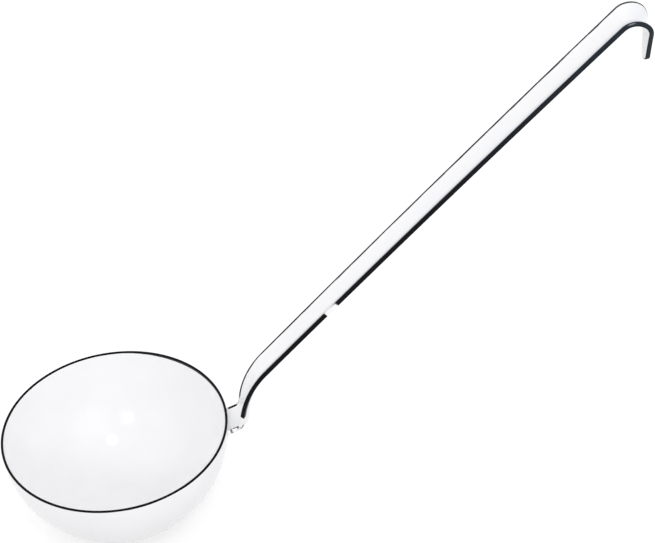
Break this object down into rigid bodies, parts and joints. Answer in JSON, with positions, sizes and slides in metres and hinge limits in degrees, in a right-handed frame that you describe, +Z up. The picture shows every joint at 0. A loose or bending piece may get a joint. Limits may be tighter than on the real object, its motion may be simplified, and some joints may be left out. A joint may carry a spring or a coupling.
{
  "type": "ladle",
  "caption": "White enamelled steel ladle: round-bottomed bowl with a black rim, gutter-section handle welded on at the rim, black edging and a hook end for hanging.",
  "frame": {"origin": "centre of the small flat under the bowl", "axes": "+Z up along the bowl axis with the rim level, +X from the bowl toward the handle, the middle of the handle in the plane y = 0"},
  "size_m": [0.283, 0.101, 0.2437],
  "materials": {
    "white_enamel": "glossy white vitreous enamel",
    "black_enamel": "glossy black vitreous enamel",
    "steel": "bare pressed steel under the enamel"
  },
  "bodies": {
    "root": {"bowl_pressing": "steel", "bowl_inner_coat": "white_enamel", "bowl_outer_coat": "white_enamel", "bowl_rim_edging": "black_enamel", "handle_pressing": "steel", "handle_front_coat": "white_enamel", "handle_back_coat": "white_enamel", "edging_long_run": "black_enamel", "edging_short_run": "black_enamel", "edge_break_coat": "white_enamel", "foot_edge_coat": "white_enamel", "foot_weld": "steel", "foot_fillet": "white_enamel"}
  },
  "joints": []
}
